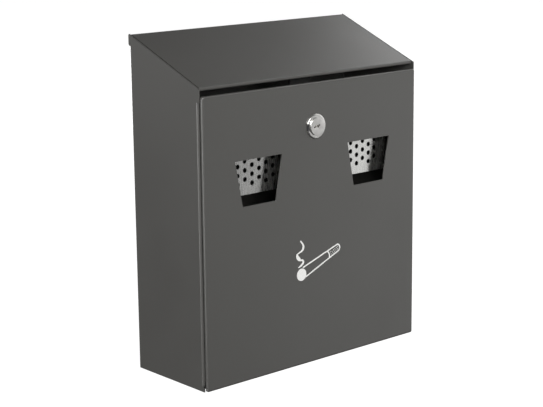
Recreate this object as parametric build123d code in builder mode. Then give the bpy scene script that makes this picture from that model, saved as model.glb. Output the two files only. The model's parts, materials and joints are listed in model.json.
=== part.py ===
from build123d import *
import os
from math import atan, cos

# Wall-mounted ashtray bin: a folded steel housing with a sloping hood, a drop-front door on two
# bottom hinges, a cam lock, two stub openings with perforated stubbing plates and a lift-out pan.
# Millimetres.  +X is to the right seen from the front, the front faces -Y, +Z is up.
# The origin is the middle of the overall box, at the height that the bin stands on.

# ---------------------------------------------------------------- driving dimensions
WIDTH = 255.0                 # across the side panels
HEIGHT = 299.0                # top of the hood at the rear
DEPTH = 97.5                  # door face to the hood's rear lip
SHEET = 1.0                   # steel sheet
BEND = 1.8                    # outside radius of a sheet bend
LOCK_PROUD = 2.6              # lock plug in front of the door face

FRONT_HEIGHT = 260.9          # top of the hood at the front
HOOD_FRONT = 4.3              # hood's front edge behind the door face
HOOD_HEM = 2.9                # depth of the hood's front edge below its top
HOOD_ROLL = 3.4               # thickness of the closed roll along that edge
HOOD_LIP = 10.5               # depth of the hood's rear lip
HOOD_GAP = 1.0                # between hood and side panel
HOOD_FLANGE = 8.0             # depth of the hood's side flanges
EAR_CORNER = 2.0              # rounding of the side panels' rear ears
EDGE_ROUND = 0.9              # rounding of the side panels' sloping top edges

FLANGE_FRONT = 4.6            # front return flanges behind the door face
FLANGE_WIDTH = 12.0
FLANGE_TOP = 249.0            # the flanges stop here, below the hood
FLANGE_FOOT = 5.4             # and start here, above the door's swinging bottom edge
SIDE_EDGE = 2.8               # raw front edge of a side panel above its flange
TOE_EDGE = 3.3                # and of the small toe that closes the door's gap at the floor
TOE_HEIGHT = 3.0
BACK = 96.0                   # rear face of the back panel

DOOR_HALF = 126.15
DOOR_BOTTOM = 0.1
DOOR_TOP = 253.9
DOOR_RETURN = 3.0             # depth of the door's folded edge
DOOR_CORNER = 1.9

OPENING_X = 65.7              # centre of a stub opening
OPENING_TOP = 52.8
OPENING_BASE = 37.4
OPENING_LOW = 155.6
OPENING_HIGH = 195.7

HINGE_DEPTH = 4.0             # hinge axis behind the door face
HINGE_Z = 6.0
PIN_R = 2.0
RUNNING = 0.05                # radial clearance of a running fit
LUG_R = 2.7                   # ring of metal round a hinge pin
ARM_X = 108.0                 # inner face of a door hinge arm
ARM = 2.0
SIDE_PLAY = 0.3

LOCK_Z = 215.2
COLLAR_R = 11.0
COLLAR = 1.6
NOTCH_HEIGHT = 6.5
NOTCH_INNER = 8.0             # the collar's notch reaches in to this distance from the lock's axis
BARREL_R = 9.5
BARREL_END = 20.0
PLUG_R = 6.0
PLUG_HEAD_R = 7.8
PLUG_END = 22.5
CAM = 2.0
CAM_REACH = 30.0
CAM_WIDTH = 16.0

PLATE_DEPTH = 10.0            # stubbing plate behind the door face
PLATE = 0.8
PLATE_HALF = 32.2
PLATE_LOW = 163.1
PLATE_HIGH = 215.0
HOLE_R = 2.15
HOLE_PITCH = 7.9              # up each column; neighbouring columns are staggered by half of it
LOWEST_HOLE = 172.6
STUD_X = 26.0
STUD_Z = 210.0
STUD_R = 2.0

PAN_HALF = 105.0
PAN_FRONT = 17.0
PAN_REAR = 88.0
PAN_TOP = 118.0
PAN_LIP_FRONT = 5.0           # the catch lip comes forward under the openings
PAN_KNEE = 72.0
PAN_RIM = 4.0

HANDLE_R = 2.0
HANDLE_DEPTH = 52.0
HANDLE_Z = 108.0
HANDLE_LEG = 28.0
HANDLE_X = 101.0

WALL_HOLE_R = 3.25
WALL_HOLE_X = 180.0
WALL_HOLE_Z = 200.0
WALL_HOLE_MID = 150.0

# ---------------------------------------------------------------- derived values
FACE_Y = -(DEPTH + LOCK_PROUD) / 2 + LOCK_PROUD      # y of the door face
SLOPE = (HEIGHT - FRONT_HEIGHT) / (DEPTH - HOOD_FRONT)
ROOF_DROP = SHEET / cos(atan(SLOPE))                  # hood thickness measured upright
HALF = WIDTH / 2
INSIDE = HALF - SHEET
HOOD_HALF = INSIDE - HOOD_GAP
BRACKET_X = ARM_X + ARM + SIDE_PLAY

os.makedirs("parts", exist_ok=True)


def at(depth):
    """y of a point that lies this far behind the door face."""
    return FACE_Y + depth


def roof(depth):
    """Height of the hood's top surface at this depth."""
    return FRONT_HEIGHT + SLOPE * (depth - HOOD_FRONT)


def under_roof(depth):
    """Height of the hood's underside at this depth."""
    return roof(depth) - ROOF_DROP


def front_plane(depth):
    """Upright plane parallel to the door: local x is +X, local y is +Z, and it faces the front."""
    return Plane.XZ.offset(-at(depth))


def side_plane(x):
    """Upright plane across the bin: local x is +Y, local y is +Z, and it faces +X."""
    return Plane.YZ.offset(x)


def outline(points):
    """Closed straight-sided face from (depth, height) points, for a side plane."""
    return Polygon(*[(at(depth), height) for depth, height in points], align=None)


def save(piece, name):
    """Label a finished piece and write its file."""
    piece.label = name
    export_step(piece, f"parts/{name}.step")


# ---------------------------------------------------------------- housing
def make_housing_wrap():
    """Back, both sides and the front return flanges, folded from one sheet."""
    depth = BACK - FLANGE_FRONT
    middle = at((BACK + FLANGE_FRONT) / 2)
    with BuildPart() as housing_wrap:
        with BuildSketch(Plane.XY):
            with Locations((0, middle)):
                RectangleRounded(WIDTH, depth, BEND)
                RectangleRounded(WIDTH - 2 * SHEET, depth - 2 * SHEET, BEND - SHEET, mode=Mode.SUBTRACT)
            with Locations((0, at(FLANGE_FRONT))):
                Rectangle(2 * (HALF - FLANGE_WIDTH), 10, mode=Mode.SUBTRACT)
        extrude(amount=HEIGHT)
        # the flanges and their bends stop short at the top and at the bottom
        bend_end = FLANGE_FRONT + BEND
        upright = (Align.CENTER, Align.CENTER, Align.MIN)
        with Locations((0, at(0), FLANGE_TOP)):
            Box(WIDTH, 2 * bend_end, HEIGHT, align=upright, mode=Mode.SUBTRACT)
        with Locations((0, at(0), 0)):
            Box(WIDTH, 2 * bend_end, FLANGE_FOOT, align=upright, mode=Mode.SUBTRACT)
        # flat front edges of the side panels above and below the flanges, and the ears behind
        for inner_x in (-HALF, INSIDE):
            with BuildSketch(side_plane(inner_x)):
                outline([(SIDE_EDGE, FLANGE_TOP), (bend_end, FLANGE_TOP), (bend_end, HEIGHT),
                         (SIDE_EDGE, HEIGHT)])
                outline([(FLANGE_FRONT, 0), (bend_end, 0), (bend_end, FLANGE_FOOT),
                         (FLANGE_FRONT, FLANGE_FOOT)])
                outline([(TOE_EDGE, 0), (bend_end, 0), (bend_end, TOE_HEIGHT), (TOE_EDGE, TOE_HEIGHT)])
                with Locations((at(DEPTH - 5), HEIGHT - HOOD_LIP / 2)):
                    RectangleRounded(10, HOOD_LIP, EAR_CORNER)
            extrude(amount=SHEET)
        # the sides follow the hood's slope
        with BuildSketch(side_plane(-HALF)):
            outline([(-20, roof(-20)), (DEPTH + 20, roof(DEPTH + 20)), (DEPTH + 20, HEIGHT + 40),
                     (-20, HEIGHT + 40)])
        extrude(amount=WIDTH, mode=Mode.SUBTRACT)
        for outer_x in (-HALF, HALF):
            slope_edge = housing_wrap.edges().sort_by_distance((outer_x, at(50), roof(50)))[0]
            fillet(slope_edge, EDGE_ROUND)
        # the back panel ends under the hood, between the ears
        with Locations((0, at(BACK), HEIGHT - 4)):
            Box(2 * INSIDE, 8, 8, align=(Align.CENTER, Align.CENTER, Align.MIN), mode=Mode.SUBTRACT)
        # four wall fixing holes
        with BuildSketch(front_plane(BACK)):
            with Locations((0, WALL_HOLE_MID)):
                with GridLocations(WALL_HOLE_X, WALL_HOLE_Z, 2, 2):
                    Circle(WALL_HOLE_R)
        extrude(amount=4, both=True, mode=Mode.SUBTRACT)
    save(housing_wrap.part, "housing_wrap")


def make_floor_tray():
    """Floor with folded-up edges, welded inside the wrap, with drain holes."""
    front = 9.8
    rear = BACK - SHEET
    fold = 12.0
    half = INSIDE - 0.1
    with BuildPart() as floor_tray:
        with BuildSketch(Plane.XY):
            with Locations((0, at((front + rear) / 2))):
                RectangleRounded(2 * half, rear - front, 1.2)
            with Locations((0, at(60))):
                with GridLocations(120, 30, 2, 1):
                    Circle(2.5, mode=Mode.SUBTRACT)
        extrude(amount=SHEET)
        with BuildSketch(Plane.XY):
            with Locations((half - SHEET / 2, at(53)), (-half + SHEET / 2, at(53))):
                Rectangle(SHEET, 80)
            with Locations((0, at(rear - SHEET / 2))):
                Rectangle(240, SHEET)
        extrude(amount=fold)
    save(floor_tray.part, "floor_tray")


def make_hood():
    """Sloping roof with a rolled front edge, a rear lip and side flanges inside the side panels."""
    flange_front = 14.0
    flange_rear = 93.0
    roll_low = FRONT_HEIGHT - HOOD_HEM
    roll_rear = HOOD_FRONT + HOOD_ROLL
    with BuildPart() as hood:
        with BuildSketch(side_plane(-HOOD_HALF)):
            outline([(HOOD_FRONT, roll_low), (HOOD_FRONT, FRONT_HEIGHT), (DEPTH, HEIGHT),
                     (DEPTH, HEIGHT - HOOD_LIP), (BACK, HEIGHT - HOOD_LIP), (BACK, under_roof(BACK)),
                     (roll_rear, under_roof(roll_rear)), (roll_rear, roll_low)])
        extrude(amount=2 * HOOD_HALF)
        for x in (-HOOD_HALF, HOOD_HALF - SHEET):
            with BuildSketch(side_plane(x)):
                outline([(flange_front, under_roof(flange_front)), (flange_rear, under_roof(flange_rear)),
                         (flange_rear, roof(flange_rear) - HOOD_FLANGE),
                         (flange_front, roof(flange_front) - HOOD_FLANGE)])
            extrude(amount=SHEET)
        across = hood.edges().filter_by(Axis.X)
        roll_edges = [across.sort_by_distance((0, at(depth), height))[0] for depth, height in
                      ((HOOD_FRONT, FRONT_HEIGHT), (HOOD_FRONT, roll_low), (roll_rear, roll_low))]
        rear_edge = across.sort_by_distance((0, at(DEPTH), HEIGHT))[0]
        fillet(roll_edges, HOOD_ROLL / 2 - 0.05)
        fillet(rear_edge, BEND)
    save(hood.part, "hood")


def make_keeper():
    """Strike plate under the hood: the turned-up cam passes behind it and holds the door shut."""
    front = 19.3
    low = 238.0
    thick = 2.0
    foot_end = 36.0
    with BuildPart() as keeper:
        with BuildSketch(side_plane(-12)):
            outline([(front, low), (front + thick, low), (front + thick, under_roof(front + thick) - thick),
                     (foot_end, under_roof(foot_end) - thick), (foot_end, under_roof(foot_end)),
                     (front, under_roof(front))])
        extrude(amount=24)
        corners = keeper.edges().filter_by(Axis.Y).group_by(Axis.Z)[0]
        fillet(corners, 4)
    save(keeper.part, "keeper_plate")


# ---------------------------------------------------------------- door hinges
def hinge_points(points):
    """(depth, height) points given from the hinge axis."""
    return [(HINGE_DEPTH + back, HINGE_Z + up) for back, up in points]


def make_hinge_bracket(side, name):
    """Upright bracket welded to the floor, with a lug that reaches forward to the hinge pin."""
    web_x = side * BRACKET_X if side > 0 else -BRACKET_X - ARM
    foot_x = side * (BRACKET_X + ARM + 5)
    foot_front = 14.0
    foot_rear = 36.0
    with BuildPart() as bracket:
        with BuildSketch(side_plane(web_x)):
            with Locations((at(HINGE_DEPTH), HINGE_Z)):
                Circle(LUG_R)
            outline(hinge_points([(0, LUG_R), (0, -1.2), (foot_front - HINGE_DEPTH, -1.2),
                                  (foot_front - HINGE_DEPTH, SHEET - HINGE_Z),
                                  (foot_rear - HINGE_DEPTH, SHEET - HINGE_Z), (foot_rear - HINGE_DEPTH, 2),
                                  (14, 9)]))
            with Locations((at(HINGE_DEPTH), HINGE_Z)):
                Circle(PIN_R, mode=Mode.SUBTRACT)
        extrude(amount=ARM)
        with BuildSketch(Plane.XY.offset(SHEET)):
            with Locations((foot_x, at((foot_front + foot_rear) / 2))):
                Rectangle(10, foot_rear - foot_front)
        extrude(amount=ARM)
    save(bracket.part, name)


def make_hinge_pin(side, name):
    """Headed pin, tight in the bracket and running in the door's arm, grooved for its clip."""
    shank = 9.0
    head = 1.2
    outer = BRACKET_X + ARM
    with BuildPart() as pin:
        with BuildSketch(side_plane(side * outer)):
            with Locations((at(HINGE_DEPTH), HINGE_Z)):
                Circle(LUG_R)
        extrude(amount=side * head)
        with BuildSketch(side_plane(side * outer)):
            with Locations((at(HINGE_DEPTH), HINGE_Z)):
                Circle(PIN_R)
        extrude(amount=-side * shank)
        with BuildSketch(side_plane(side * (ARM_X - 0.3))):
            with Locations((at(HINGE_DEPTH), HINGE_Z)):
                Circle(PIN_R + 1)
                Circle(1.5, mode=Mode.SUBTRACT)
        extrude(amount=-side * 0.8, mode=Mode.SUBTRACT)
    save(pin.part, name)


def make_pin_clips():
    """Retaining clips in the grooves of the two hinge pins."""
    with BuildPart() as clips:
        for side in (-1, 1):
            with BuildSketch(side_plane(side * (ARM_X - 0.35))):
                with Locations((at(HINGE_DEPTH), HINGE_Z)):
                    Circle(LUG_R)
                    Circle(1.5, mode=Mode.SUBTRACT)
                with Locations((at(HINGE_DEPTH) + 2, HINGE_Z)):
                    Rectangle(4, 2, mode=Mode.SUBTRACT)
            extrude(amount=-side * 0.7)
    save(clips.part, "hinge_pin_clips")


def make_hinge_arm(side, name):
    """Angle welded inside the door: its web carries the bore that turns on the hinge pin."""
    web_x = side * ARM_X if side > 0 else -ARM_X - ARM
    foot_high = 46.0
    foot_low = 16.0
    foot_x = side * (ARM_X - 5)
    with BuildPart() as arm:
        with BuildSketch(side_plane(web_x)):
            with Locations((at(HINGE_DEPTH), HINGE_Z)):
                Circle(LUG_R)
            outline([(SHEET, HINGE_Z - 1.5), (HINGE_DEPTH, HINGE_Z - LUG_R), (HINGE_DEPTH + LUG_R, HINGE_Z),
                     (HINGE_DEPTH + 4, foot_low), (HINGE_DEPTH + 4, foot_high - 8), (SHEET, foot_high)])
            with Locations((at(HINGE_DEPTH), HINGE_Z)):
                Circle(PIN_R + RUNNING, mode=Mode.SUBTRACT)
        extrude(amount=ARM)
        with BuildSketch(front_plane(SHEET)):
            with Locations((foot_x, (foot_low + foot_high) / 2)):
                Rectangle(10, foot_high - foot_low)
        extrude(amount=-1.5)
    save(arm.part, name)


# ---------------------------------------------------------------- housing fittings
def make_door_buffers():
    """Rubber studs on the front flanges that the closed door rests on."""
    with BuildPart() as buffers:
        with BuildSketch(front_plane(FLANGE_FRONT)):
            with Locations((0, 132)):
                with GridLocations(2 * 120.5, 208, 2, 2):
                    Circle(3.5)
        extrude(amount=FLANGE_FRONT - SHEET - 0.05)
        fillet(buffers.faces().sort_by(Axis.Y)[0:4].edges(), 0.6)
    save(buffers.part, "door_buffers")


def make_pan_guide(side, name):
    """Angle rail on the floor that keeps the pan square."""
    web = PAN_HALF + 1.0
    web_x = side * web if side > 0 else -web - 1.5
    with BuildPart() as guide:
        with BuildSketch(side_plane(web_x)):
            outline([(42, SHEET), (86, SHEET), (86, 11), (83, 14), (45, 14), (42, 11)])
        extrude(amount=1.5)
        with BuildSketch(Plane.XY.offset(SHEET)):
            with Locations((side * (web + 5), at(64))):
                Rectangle(10, 44)
        extrude(amount=1.5)
    save(guide.part, name)


# ---------------------------------------------------------------- door
def make_door_panel():
    """Shallow folded tray with two tapered stub openings and the lock's hole."""
    height = DOOR_TOP - DOOR_BOTTOM
    middle = (DOOR_TOP + DOOR_BOTTOM) / 2
    with BuildPart() as door_panel:
        with BuildSketch(front_plane(DOOR_RETURN)):
            with Locations((0, middle)):
                RectangleRounded(2 * DOOR_HALF, height, DOOR_CORNER)
        extrude(amount=DOOR_RETURN)
        fillet(door_panel.faces().sort_by(Axis.Y)[0].edges(), BEND)
        with BuildSketch(front_plane(DOOR_RETURN)):
            with Locations((0, middle)):
                RectangleRounded(2 * (DOOR_HALF - SHEET), height - 2 * SHEET, DOOR_CORNER - SHEET)
        extrude(amount=DOOR_RETURN - SHEET, mode=Mode.SUBTRACT)
        inner_face = door_panel.faces().filter_by(Axis.Y).sort_by(Axis.Y)[1]
        fillet(inner_face.edges(), BEND - SHEET)
        with BuildSketch(front_plane(DOOR_RETURN)):
            for x in (-OPENING_X, OPENING_X):
                Polygon((x - OPENING_BASE / 2, OPENING_LOW), (x + OPENING_BASE / 2, OPENING_LOW),
                        (x + OPENING_TOP / 2, OPENING_HIGH), (x - OPENING_TOP / 2, OPENING_HIGH), align=None)
            with Locations((0, LOCK_Z)):
                Circle(BARREL_R + 0.1)
        extrude(amount=2 * DOOR_RETURN, mode=Mode.SUBTRACT)
    save(door_panel.part, "door_panel")


def plate_columns(phase, spacing, reach):
    """Column positions of the staggered holes, each with whether it is one of the low columns."""
    columns = []
    for step in range(-8, 9):
        x = phase + step * spacing
        if abs(x) < reach:
            columns.append((x, step % 2 == 0))
    return columns


def make_stub_plate(centre, phase, spacing, reach, name):
    """Perforated stubbing plate behind an opening, with its bottom edge folded back."""
    rows = 4
    with BuildPart() as plate:
        with BuildSketch(front_plane(PLATE_DEPTH + PLATE)):
            with Locations((centre, (PLATE_LOW + PLATE_HIGH) / 2)):
                RectangleRounded(2 * PLATE_HALF, PLATE_HIGH - PLATE_LOW, 1.5)
        extrude(amount=PLATE)
        with BuildSketch(front_plane(PLATE_DEPTH + PLATE)):
            with Locations((centre, PLATE_LOW + PLATE / 2)):
                Rectangle(2 * PLATE_HALF - 3, PLATE)
        extrude(amount=-2.5)
        with BuildSketch(front_plane(PLATE_DEPTH + PLATE)):
            for x, low_column in plate_columns(phase, spacing, reach):
                lowest = LOWEST_HOLE if low_column else LOWEST_HOLE + HOLE_PITCH / 2
                for row in range(rows):
                    with Locations((centre + x, lowest + row * HOLE_PITCH)):
                        Circle(HOLE_R)
            with Locations((centre - STUD_X, STUD_Z), (centre + STUD_X, STUD_Z)):
                Circle(STUD_R + 0.1)
        extrude(amount=PLATE, mode=Mode.SUBTRACT)
    save(plate.part, name)


def stud_spots():
    """(x, z) of the four studs that carry the stubbing plates."""
    return [(centre + offset, STUD_Z) for centre in (-OPENING_X, OPENING_X) for offset in (-STUD_X, STUD_X)]


def make_plate_fixings():
    """Weld studs on the door, the spacers on them and the nuts that hold the plates."""
    nut = 3.2
    with BuildPart() as studs:
        with BuildSketch(front_plane(SHEET)):
            with Locations(*stud_spots()):
                Circle(STUD_R)
        extrude(amount=-(PLATE_DEPTH + PLATE + nut + 1.5 - SHEET))
    save(studs.part, "plate_studs")
    with BuildPart() as spacers:
        with BuildSketch(front_plane(SHEET)):
            with Locations(*stud_spots()):
                Circle(4)
                Circle(STUD_R + 0.1, mode=Mode.SUBTRACT)
        extrude(amount=-(PLATE_DEPTH - SHEET))
    save(spacers.part, "plate_spacers")
    with BuildPart() as nuts:
        with BuildSketch(front_plane(PLATE_DEPTH + PLATE)):
            with Locations(*stud_spots()):
                RegularPolygon(4.04, 6)
                Circle(STUD_R, mode=Mode.SUBTRACT)
        extrude(amount=-nut)
    save(nuts.part, "plate_nuts")


# ---------------------------------------------------------------- cam lock
def make_lock_body():
    """Fixed lock body: a rounded collar with a notch, and a barrel with two flats."""
    with BuildPart() as lock_body:
        with BuildSketch(front_plane(0)):
            with Locations((0, LOCK_Z)):
                Circle(COLLAR_R)
        extrude(amount=COLLAR)
        fillet(lock_body.edges().filter_by(GeomType.CIRCLE).sort_by(Axis.Y)[0], COLLAR - 0.5)
        with BuildSketch(front_plane(0)):
            with Locations((0, LOCK_Z)):
                Circle(BARREL_R)
                Rectangle(2 * BARREL_R, 16.4, mode=Mode.INTERSECT)
        extrude(amount=-BARREL_END)
        with BuildSketch(front_plane(BARREL_END)):
            with Locations((0, LOCK_Z)):
                Circle(PLUG_R + RUNNING)
        extrude(amount=BARREL_END + COLLAR, mode=Mode.SUBTRACT)
        with BuildSketch(front_plane(0)):
            with Locations((-NOTCH_INNER, LOCK_Z)):
                Rectangle(COLLAR_R, NOTCH_HEIGHT, align=(Align.MAX, Align.CENTER))
        extrude(amount=COLLAR, mode=Mode.SUBTRACT)
    save(lock_body.part, "lock_body")


def make_notch_insert():
    """Black plastic stop that fills the collar's notch."""
    with BuildPart() as insert:
        with BuildSketch(front_plane(0)):
            with Locations((0, LOCK_Z)):
                Circle(COLLAR_R - 0.7)
            with Locations((-NOTCH_INNER, LOCK_Z)):
                Rectangle(COLLAR_R, NOTCH_HEIGHT, align=(Align.MAX, Align.CENTER), mode=Mode.INTERSECT)
        extrude(amount=0.5)
    save(insert.part, "notch_insert")


def make_lock_fixings():
    """Washer and nut that clamp the lock body to the door."""
    washer = 0.8
    nut = 4.5
    with BuildPart() as lock_washer:
        with BuildSketch(front_plane(SHEET)):
            with Locations((0, LOCK_Z)):
                Circle(12.5)
                Circle(BARREL_R + 0.1, mode=Mode.SUBTRACT)
        extrude(amount=-washer)
    save(lock_washer.part, "lock_washer")
    with BuildPart() as lock_nut:
        with BuildSketch(front_plane(SHEET + washer)):
            with Locations((0, LOCK_Z)):
                RegularPolygon(13.5, 6)
                Circle(BARREL_R + 0.1, mode=Mode.SUBTRACT)
        extrude(amount=-nut)
    save(lock_nut.part, "lock_nut")


def make_lock_plug():
    """Turning plug: domed head with a wavy keyway, running shank and a square end for the cam."""
    face = front_plane(-LOCK_PROUD)
    with BuildPart() as lock_plug:
        with BuildSketch(face):
            with Locations((0, LOCK_Z)):
                Circle(PLUG_HEAD_R)
        extrude(amount=-(LOCK_PROUD - COLLAR - 0.1))
        fillet(lock_plug.edges().filter_by(GeomType.CIRCLE).sort_by(Axis.Y)[0], 0.3)
        with BuildSketch(face):
            with Locations((0, LOCK_Z)):
                Circle(PLUG_R)
        extrude(amount=-(LOCK_PROUD + PLUG_END - 1.5))
        with BuildSketch(face):
            with Locations((0, LOCK_Z)):
                Rectangle(7, 7)
        extrude(amount=-(LOCK_PROUD + PLUG_END + CAM))
        with BuildSketch(face):
            with BuildLine():
                Polyline((-3.9, LOCK_Z - 0.9), (-1.3, LOCK_Z + 0.7), (0.3, LOCK_Z + 0.2), (3.2, LOCK_Z + 1.3))
            trace(line_width=1.5)
            with BuildLine():
                Polyline((0.7, LOCK_Z + 0.3), (1.8, LOCK_Z - 1.9))
            trace(line_width=1.3)
        extrude(amount=-4, mode=Mode.SUBTRACT)
    save(lock_plug.part, "lock_plug")


def make_cam():
    """Flat cam on the plug's square end; it points sideways unlocked and turns up to lock."""
    with BuildPart() as cam:
        with BuildSketch(front_plane(PLUG_END)):
            with Locations((0, LOCK_Z)):
                Circle(CAM_WIDTH / 2)
            with Locations(((CAM_REACH - CAM_WIDTH / 4) / 2, LOCK_Z)):
                Rectangle(CAM_REACH - CAM_WIDTH / 4, CAM_WIDTH)
            with Locations((CAM_REACH - CAM_WIDTH / 4, LOCK_Z)):
                RectangleRounded(CAM_WIDTH / 2, CAM_WIDTH, 3.9)
            with Locations((0, LOCK_Z)):
                Rectangle(7, 7, mode=Mode.SUBTRACT)
        extrude(amount=-CAM)
    save(cam.part, "lock_cam")


def make_cam_screw():
    """Spring washer and pan-head screw that hold the cam on."""
    with BuildPart() as cam_washer:
        with BuildSketch(front_plane(PLUG_END + CAM)):
            with Locations((0, LOCK_Z)):
                Circle(5.5)
                Circle(2.1, mode=Mode.SUBTRACT)
        extrude(amount=-0.8)
    save(cam_washer.part, "cam_washer")
    head_depth = PLUG_END + CAM + 0.8
    with BuildPart() as cam_screw:
        with BuildSketch(front_plane(head_depth)):
            with Locations((0, LOCK_Z)):
                Circle(3.8)
        extrude(amount=-2.4)
        fillet(cam_screw.edges().filter_by(GeomType.CIRCLE).sort_by(Axis.Y)[-1], 0.9)
        with BuildSketch(front_plane(head_depth)):
            with Locations((0, LOCK_Z)):
                Circle(2)
        extrude(amount=0.8)
        with BuildSketch(front_plane(head_depth + 2.4)):
            with Locations((0, LOCK_Z)):
                Rectangle(4.2, 1.0)
                Rectangle(1.0, 4.2)
        extrude(amount=1.3, mode=Mode.SUBTRACT)
    save(cam_screw.part, "cam_screw")


# ---------------------------------------------------------------- ash pan
def make_ash_pan():
    """Open pan whose front wall leans forward into a catch lip under the openings."""
    with BuildPart() as ash_pan:
        with BuildSketch(side_plane(-PAN_HALF)):
            outline([(PAN_FRONT, SHEET), (PAN_REAR, SHEET), (PAN_REAR, PAN_TOP), (PAN_LIP_FRONT, PAN_TOP),
                     (PAN_FRONT, PAN_KNEE)])
        extrude(amount=2 * PAN_HALF)
        offset(amount=-SHEET, openings=ash_pan.faces().sort_by(Axis.Z)[-1])
        with BuildSketch(Plane.XY.offset(PAN_TOP - SHEET)):
            with Locations((0, at((PAN_LIP_FRONT + 1 + PAN_REAR + PAN_RIM) / 2))):
                Rectangle(2 * (PAN_HALF + PAN_RIM), PAN_REAR + PAN_RIM - PAN_LIP_FRONT - 1)
            with Locations((0, at((PAN_REAR - SHEET) / 2))):
                Rectangle(2 * (PAN_HALF - SHEET), PAN_REAR - SHEET, mode=Mode.SUBTRACT)
        extrude(amount=SHEET)
        with BuildSketch(side_plane(-PAN_HALF - 1)):
            with Locations((at(HANDLE_DEPTH), HANDLE_Z)):
                Circle(HANDLE_R + RUNNING)
        extrude(amount=2 * PAN_HALF + 2, mode=Mode.SUBTRACT)
    save(ash_pan.part, "ash_pan")


def make_handle_rests():
    """Small tabs inside the pan that hold the folded handle level."""
    rest_top = HANDLE_Z - HANDLE_R - 0.3
    with BuildPart() as handle_rests:
        with BuildSketch(Plane.XY.offset(rest_top)):
            for side in (-1, 1):
                with Locations((side * (PAN_HALF - SHEET - 2.5), at(HANDLE_DEPTH + 16))):
                    Rectangle(5, 7)
        extrude(amount=-1.5)
    save(handle_rests.part, "handle_rests")


def make_pan_handle():
    """Wire bail that turns in the pan's side walls, with a plastic grip."""
    pivot_end = PAN_HALF + 1.8
    grip_depth = HANDLE_DEPTH + HANDLE_LEG
    with BuildPart() as pan_handle:
        with BuildLine():
            FilletPolyline((-pivot_end, at(HANDLE_DEPTH), HANDLE_Z), (-HANDLE_X, at(HANDLE_DEPTH), HANDLE_Z),
                           (-HANDLE_X, at(grip_depth), HANDLE_Z), (HANDLE_X, at(grip_depth), HANDLE_Z),
                           (HANDLE_X, at(HANDLE_DEPTH), HANDLE_Z), (pivot_end, at(HANDLE_DEPTH), HANDLE_Z),
                           radius=2.8)
        with BuildSketch(side_plane(-pivot_end)):
            with Locations((at(HANDLE_DEPTH), HANDLE_Z)):
                Circle(HANDLE_R)
        sweep()
    save(pan_handle.part, "pan_handle")
    with BuildPart() as handle_grip:
        with BuildSketch(side_plane(-45)):
            with Locations((at(grip_depth), HANDLE_Z)):
                Circle(4.4)
                Circle(HANDLE_R, mode=Mode.SUBTRACT)
        extrude(amount=90)
        fillet(handle_grip.edges().filter_by(GeomType.CIRCLE).sort_by(Edge.length)[-2:], 1.2)
    save(handle_grip.part, "handle_grip")


# ---------------------------------------------------------------- printed pictogram
def ribbon(first_edge, second_edge):
    """Closed shape between two smooth edges that run the same way."""
    with BuildSketch(mode=Mode.PRIVATE) as shape:
        with BuildLine():
            first = Spline(*first_edge)
            second = Spline(*second_edge)
            Line(first @ 0, second @ 0)
            Line(first @ 1, second @ 1)
        make_face()
    return shape.sketch


def make_pictogram():
    """Thin printed sign: a lit cigarette drawn in outline with a filled ember and curling smoke."""
    ink = 0.15
    line = 1.25
    wisp = ribbon([(-18.2, 115.3), (-15.6, 112.5), (-13.9, 109.2), (-15.6, 105.6), (-19.4, 103.9),
                   (-22.9, 103.0)],
                  [(-19.2, 114.6), (-17.1, 112.0), (-16.1, 109.3), (-17.0, 106.8), (-19.9, 105.1),
                   (-23.2, 103.6)])
    curl = ribbon([(-22.9, 103.8), (-20.6, 101.4), (-18.8, 99.2), (-17.7, 96.9)],
                  [(-23.4, 103.6), (-23.8, 101.6), (-22.9, 99.0), (-18.4, 96.6)])
    tail = ribbon([(-18.4, 97.6), (-15.2, 97.2), (-14.3, 95.4), (-16.0, 92.6), (-18.6, 91.3), (-21.5, 90.7)],
                  [(-18.4, 96.4), (-16.6, 96.1), (-16.4, 95.4), (-17.5, 94.0), (-19.2, 92.7), (-21.5, 91.3)])
    stipple = [(17.6, 98.7), (18.6, 96.7), (19.9, 98.9), (20.9, 97.3), (21.6, 99.9), (22.9, 98.4),
               (23.3, 100.6), (24.6, 99.3), (25.2, 101.5), (26.3, 100.0), (26.9, 101.9)]
    with BuildPart() as pictogram:
        with BuildSketch(front_plane(0)):
            with Locations((-17.45, 84.0)):
                Circle(5.6)
            with BuildLine():
                top = Line((-15.8, 90.2), (26.0, 104.2))
                cap = ThreePointArc(top @ 1, (29.4, 100.9), (27.0, 97.9))
                Line(cap @ 1, (-12.8, 81.0))
            trace(line_width=line)
            with BuildLine():
                ThreePointArc((13.9, 99.9), (16.2, 97.2), (16.4, 93.6))
            trace(line_width=line)
            with Locations(*stipple):
                Circle(0.42)
            add(wisp)
            add(curl)
            add(tail)
        extrude(amount=ink)
    save(pictogram.part, "pictogram")


make_housing_wrap()
make_floor_tray()
make_hood()
make_keeper()
make_hinge_bracket(-1, "hinge_bracket_left")
make_hinge_bracket(1, "hinge_bracket_right")
make_hinge_pin(-1, "hinge_pin_left")
make_hinge_pin(1, "hinge_pin_right")
make_pin_clips()
make_door_buffers()
make_pan_guide(-1, "pan_guide_left")
make_pan_guide(1, "pan_guide_right")
make_door_panel()
make_hinge_arm(-1, "hinge_arm_left")
make_hinge_arm(1, "hinge_arm_right")
make_stub_plate(-OPENING_X, 0.5, 8.0, 28.0, "stub_plate_left")
make_stub_plate(OPENING_X, -5.3, 7.55, 21.0, "stub_plate_right")
make_plate_fixings()
make_lock_body()
make_notch_insert()
make_lock_fixings()
make_lock_plug()
make_cam()
make_cam_screw()
make_ash_pan()
make_handle_rests()
make_pan_handle()
make_pictogram()
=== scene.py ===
import bpy
import json
import math
from mathutils import Matrix, Vector


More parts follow.
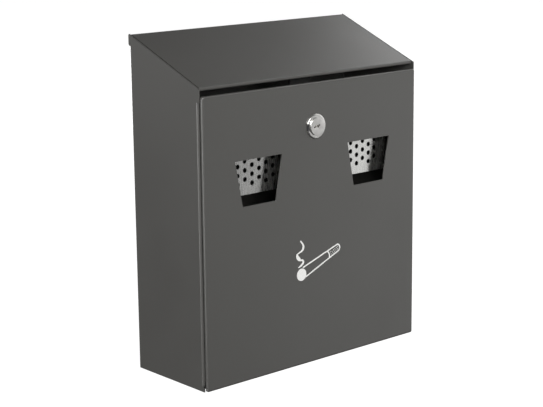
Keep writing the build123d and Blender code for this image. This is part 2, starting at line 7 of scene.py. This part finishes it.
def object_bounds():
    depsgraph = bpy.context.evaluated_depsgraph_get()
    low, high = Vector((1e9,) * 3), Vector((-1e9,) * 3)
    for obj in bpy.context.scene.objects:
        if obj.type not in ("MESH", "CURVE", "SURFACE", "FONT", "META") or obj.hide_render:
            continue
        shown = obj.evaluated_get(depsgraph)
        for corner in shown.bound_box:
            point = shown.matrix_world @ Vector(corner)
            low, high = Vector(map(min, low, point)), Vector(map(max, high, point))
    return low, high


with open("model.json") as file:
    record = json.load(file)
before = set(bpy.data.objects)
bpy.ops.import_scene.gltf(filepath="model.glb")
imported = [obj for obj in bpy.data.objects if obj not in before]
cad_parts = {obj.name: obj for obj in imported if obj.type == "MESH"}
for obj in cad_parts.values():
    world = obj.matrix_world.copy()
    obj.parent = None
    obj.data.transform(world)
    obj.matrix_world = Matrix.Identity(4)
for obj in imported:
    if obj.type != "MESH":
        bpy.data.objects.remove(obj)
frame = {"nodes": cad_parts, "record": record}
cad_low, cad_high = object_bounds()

MM = 0.001
FILL = 0.02                   # brightness of the even fill light
STAGE = 10                    # metres, radius of the floor and of the white surround
FLOOR_GAP = 0.2 * MM          # the floor lies this far below the bin's underside
MIX_FIRST = 6                 # colour sockets of a Mix node, which share their names with the float ones
MIX_SECOND = 7
MIX_RESULT = 2
NODES = frame["nodes"]
scene = bpy.context.scene
scene.view_settings.view_transform = "Standard"


# ---------------------------------------------------------------- material helpers
class Graph:
    """A material's node tree with short calls for the nodes that the finishes share."""

    def __init__(self, name):
        self.material = bpy.data.materials.new(name)
        self.material.use_nodes = True
        self.tree = self.material.node_tree
        self.shader = self.tree.nodes["Principled BSDF"]
        self.place = self.tree.nodes.new("ShaderNodeTexCoord").outputs["Object"]

    def node(self, kind, **inputs):
        made = self.tree.nodes.new(kind)
        for key, value in inputs.items():
            self.put(made.inputs[key.replace("_", " ")], value)
        return made

    def put(self, socket, value):
        if isinstance(value, bpy.types.NodeSocket):
            self.tree.links.new(value, socket)
        else:
            socket.default_value = value

    def set(self, **inputs):
        for key, value in inputs.items():
            self.put(self.shader.inputs[key.replace("_", " ")], value)

    def stretched(self, x, y, z):
        mapping = self.node("ShaderNodeMapping", Vector=self.place, Scale=(x, y, z))
        return mapping.outputs["Vector"]

    def noise(self, size, detail=2.0, rough=0.5, place=None):
        """Noise whose features are about this many metres across, as a 0 to 1 value."""
        made = self.node("ShaderNodeTexNoise", Vector=place or self.place, Scale=1 / size, Detail=detail,
                         Roughness=rough)
        return made.outputs["Fac"]

    def cells(self, size):
        """Irregular cells about this many metres across, each with its own random colour."""
        made = self.node("ShaderNodeTexVoronoi", Vector=self.place, Scale=1 / size)
        return made.outputs["Color"]

    def spread(self, value, low, high, start=0.3, end=0.7):
        """Stretches the start to end part of a value over low to high."""
        made = self.node("ShaderNodeMapRange", Value=value, From_Min=start, From_Max=end, To_Min=low,
                         To_Max=high)
        return made.outputs["Result"]

    def blend(self, factor, first, second):
        """A colour between two others, by a factor of 0 to 1."""
        made = self.tree.nodes.new("ShaderNodeMix")
        made.data_type = "RGBA"
        self.put(made.inputs["Factor"], factor)
        self.put(made.inputs[MIX_FIRST], (*first, 1))
        self.put(made.inputs[MIX_SECOND], (*second, 1))
        return made.outputs[MIX_RESULT]

    def bump(self, height, distance, strength=1.0, under=None):
        made = self.node("ShaderNodeBump", Height=height, Distance=distance, Strength=strength)
        if under is not None:
            self.put(made.inputs["Normal"], under)
        return made.outputs["Normal"]


# ---------------------------------------------------------------- finishes
def powder_coat():
    """Dark warm grey satin powder coat: a fine sanded grain over a faint orange peel."""
    g = Graph("powder_coat")
    grain = g.noise(0.5 * MM, detail=3.0, rough=0.6)
    peel = g.noise(2.2 * MM, detail=1.0)
    cloud = g.noise(60 * MM, detail=2.0)
    tone = g.blend(g.spread(grain, 0.0, 1.0), (0.056, 0.055, 0.052), (0.074, 0.073, 0.069))
    g.set(Base_Color=tone, Metallic=0.0, IOR=1.5)
    g.set(Roughness=g.spread(cloud, 0.29, 0.35))
    g.set(Normal=g.bump(grain, 0.02 * MM, 0.5, under=g.bump(peel, 0.04 * MM, 0.3)))
    return g.material


def stainless():
    """Satin rolled stainless sheet with a fine upright grain."""
    g = Graph("stainless")
    rolled = g.noise(0.5 * MM, detail=3.0, place=g.stretched(1, 1, 0.05))
    cloud = g.noise(14 * MM, detail=2.0)
    g.set(Base_Color=g.blend(g.spread(cloud, 0.0, 1.0), (0.66, 0.66, 0.64), (0.74, 0.74, 0.72)))
    g.set(Metallic=1.0, Roughness=g.spread(rolled, 0.22, 0.33))
    g.set(Normal=g.bump(rolled, 0.03 * MM, 0.5))
    return g.material


def satin_nickel():
    """Satin nickel plate over a zinc die casting."""
    g = Graph("satin_nickel")
    cast = g.noise(0.8 * MM, detail=3.0)
    cloud = g.noise(5 * MM, detail=1.0)
    g.set(Base_Color=g.blend(g.spread(cloud, 0.0, 1.0), (0.68, 0.67, 0.65), (0.80, 0.79, 0.77)))
    g.set(Metallic=1.0, Roughness=g.spread(cast, 0.28, 0.38))
    g.set(Normal=g.bump(cast, 0.03 * MM, 0.5))
    return g.material


def galvanised():
    """Hot-dip galvanised sheet: overlapping spangles, each with its own tone and gloss."""
    g = Graph("galvanised")
    spangle = g.cells(7 * MM)
    fine = g.noise(0.7 * MM, detail=3.0)
    tone = g.spread(spangle, 0.0, 1.0, 0.0, 1.0)
    g.set(Base_Color=g.blend(tone, (0.42, 0.43, 0.44), (0.56, 0.57, 0.58)))
    g.set(Metallic=1.0, Roughness=g.spread(spangle, 0.32, 0.52, 0.0, 1.0))
    g.set(Normal=g.bump(fine, 0.02 * MM, 0.5))
    return g.material


def zinc_plate():
    """Bright zinc plate with a faint blue and straw cast."""
    g = Graph("zinc_plate")
    cast = g.noise(3 * MM, detail=2.0)
    fine = g.noise(0.25 * MM, detail=2.0)
    g.set(Base_Color=g.blend(g.spread(cast, 0.0, 1.0), (0.50, 0.52, 0.55), (0.60, 0.58, 0.53)))
    g.set(Metallic=1.0, Roughness=g.spread(fine, 0.26, 0.40))
    g.set(Normal=g.bump(fine, 0.01 * MM, 0.5))
    return g.material


def black_oxide():
    """Oiled black oxide on a pressed steel bracket, kept near black so that the bracket seen through the
    gap above the door gives painted shade there.
    """
    g = Graph("black_oxide")
    fine = g.noise(0.5 * MM, detail=3.0)
    # near-black base colour: a real black oxide tone, also painted shade for the bracket seen in the
    # dark gap above the door
    g.set(Base_Color=g.blend(g.spread(fine, 0.0, 1.0), (0.010, 0.010, 0.010), (0.018, 0.018, 0.017)))
    g.set(Roughness=g.spread(fine, 0.42, 0.58))
    g.set(Normal=g.bump(fine, 0.02 * MM, 0.5))
    return g.material


def black_rubber():
    """Matt moulded rubber."""
    g = Graph("black_rubber")
    fine = g.noise(0.3 * MM, detail=3.0)
    g.set(Base_Color=g.blend(g.spread(fine, 0.0, 1.0), (0.014, 0.014, 0.014), (0.024, 0.023, 0.022)))
    g.set(Roughness=g.spread(fine, 0.68, 0.85))
    g.set(Normal=g.bump(fine, 0.03 * MM, 0.5))
    return g.material


def black_plastic():
    """Moulded plastic with a fine spark-eroded texture; the same near-black insert in the lock's notch
    is painted shade standing in for a deep recess.
    """
    g = Graph("black_plastic")
    spark = g.noise(0.25 * MM, detail=2.0)
    # near-black base colour: the real colour of the moulded plastic, and painted shade where it fills
    # the lock's notch
    g.set(Base_Color=g.blend(g.spread(spark, 0.0, 1.0), (0.018, 0.018, 0.019), (0.028, 0.028, 0.030)))
    g.set(Roughness=g.spread(spark, 0.40, 0.55))
    g.set(Normal=g.bump(spark, 0.03 * MM, 0.6))
    return g.material


def white_ink():
    """Screen-printed ink: nearly white, with slightly uneven cover."""
    g = Graph("white_ink")
    cover = g.noise(1.2 * MM, detail=3.0)
    g.set(Base_Color=g.blend(g.spread(cover, 0.0, 1.0), (0.68, 0.68, 0.66), (0.76, 0.76, 0.74)))
    g.set(Roughness=g.spread(cover, 0.42, 0.55))
    g.set(Normal=g.bump(cover, 0.01 * MM, 0.5))
    return g.material


FINISHES = {
    "powder_coat": powder_coat(),
    "stainless_steel": stainless(),
    "satin_nickel": satin_nickel(),
    "galvanised_steel": galvanised(),
    "zinc_plated_steel": zinc_plate(),
    "black_oxide_steel": black_oxide(),
    "black_rubber": black_rubber(),
    "black_plastic": black_plastic(),
    "white_ink": white_ink(),
}
for entry in frame["record"]["subparts"]:
    node = NODES[entry["node"]]
    node.data.materials.clear()
    node.data.materials.append(FINISHES[entry["material_slot"]])


# ---------------------------------------------------------------- studio
def glow(name):
    """White glow with a little diffuse, so that the surround shows plain white."""
    material = bpy.data.materials.new(name)
    material.use_nodes = True
    nodes = material.node_tree.nodes
    nodes.clear()
    emission = nodes.new("ShaderNodeEmission")
    emission.inputs["Color"].default_value = (1, 1, 1, 1)
    emission.inputs["Strength"].default_value = 1.0
    diffuse = nodes.new("ShaderNodeBsdfDiffuse")
    diffuse.inputs["Color"].default_value = (0.12, 0.12, 0.12, 1)
    both = nodes.new("ShaderNodeAddShader")
    output = nodes.new("ShaderNodeOutputMaterial")
    material.node_tree.links.new(emission.outputs[0], both.inputs[0])
    material.node_tree.links.new(diffuse.outputs[0], both.inputs[1])
    material.node_tree.links.new(both.outputs[0], output.inputs["Surface"])
    return material


def make_floor():
    """Plain white floor that only the camera sees."""
    under = (0, 0, cad_low.z - FLOOR_GAP)
    bpy.ops.mesh.primitive_circle_add(vertices=64, radius=STAGE, fill_type="NGON", location=under)
    floor = bpy.context.object
    floor.name = "floor"
    floor.data.materials.append(glow("floor_pale"))
    floor.visible_diffuse = False
    floor.visible_glossy = False
    floor.visible_shadow = False


def make_backdrop():
    """Plain white surround that only the camera sees; the panels light the bin."""
    bpy.ops.mesh.primitive_uv_sphere_add(segments=32, ring_count=16, radius=STAGE)
    backdrop = bpy.context.object
    backdrop.name = "backdrop"
    backdrop.data.materials.append(glow("backdrop_white"))
    backdrop.visible_diffuse = False
    backdrop.visible_glossy = False
    backdrop.visible_transmission = False
    backdrop.visible_shadow = False


def area_light(name, place, target, size, power):
    """Soft rectangular panel at a place, turned towards a target; metres and watts."""
    light = bpy.data.lights.new(name, "AREA")
    light.shape = "RECTANGLE"
    light.size, light.size_y = size
    light.energy = power
    lamp = bpy.data.objects.new(name, light)
    lamp.location = place
    lamp.visible_camera = False
    lamp.rotation_euler = (Vector(target) - Vector(place)).to_track_quat("-Z", "Y").to_euler()
    scene.collection.objects.link(lamp)


def make_world():
    """Dim even fill from all round."""
    world = bpy.data.worlds.new("studio")
    world.use_nodes = True
    background = world.node_tree.nodes["Background"]
    background.inputs["Color"].default_value = (1, 1, 1, 1)
    background.inputs["Strength"].default_value = FILL
    scene.world = world


def make_camera():
    """Long-lens view from the front left, a little above the bin."""
    azimuth, elevation, roll = (math.radians(a) for a in (-41.34, 12.44, -0.606))
    target = Vector((-52.05, -47.45, 153.9)) * MM
    distance = 1293.3 * MM
    back = Vector((math.sin(azimuth) * math.cos(elevation), -math.cos(azimuth) * math.cos(elevation),
                   math.sin(elevation)))
    right = (-back).cross(Vector((0, 0, 1))).normalized()
    up = right.cross(-back)
    across = right * math.cos(roll) + up * math.sin(roll)
    upright = up * math.cos(roll) - right * math.sin(roll)
    camera = bpy.data.objects.new("camera", bpy.data.cameras.new("camera"))
    camera.data.lens = 99.6
    camera.data.sensor_width = 36
    turn = Matrix((across, upright, back)).transposed().to_4x4()
    camera.matrix_world = Matrix.Translation(target + back * distance) @ turn
    scene.collection.objects.link(camera)
    scene.camera = camera


make_camera()
make_floor()
make_backdrop()
make_world()
area_light("front_right_panel", (1.62, -1.27, -0.2), (0, 0, 0.15), (0.8, 1.4), 3.9)
area_light("front_panel", (-0.8, -1.8, 1.0), (0, 0, 0.15), (1.2, 1.0), 60)
area_light("left_panel", (-1.9, 0.3, 0.1), (-0.1, 0, 0.15), (1.2, 1.0), 24)
area_light("back_left_panel", (-1.3, 1.45, 0.3), (-0.1, 0, 0.15), (1.0, 0.8), 1.3)
area_light("back_right_panel", (1.25, 0.75, 1.05), (0, 0, 0.28), (0.7, 0.7), 0.3)
area_light("top_right_panel", (1.6, 0.75, 0.95), (0, 0, 0.28), (0.6, 0.7), 1.2)
area_light("bend_panel", (0.95, -0.2, 1.15), (0, 0, 0.28), (0.35, 0.35), 2)
area_light("right_panel", (1.9, 0.2, 0.5), (0, 0, 0.15), (2.0, 1.6), 34)
area_light("rear_panel", (0.4, 2.1, 0.7), (0, 0, 0.15), (1.4, 1.8), 50)
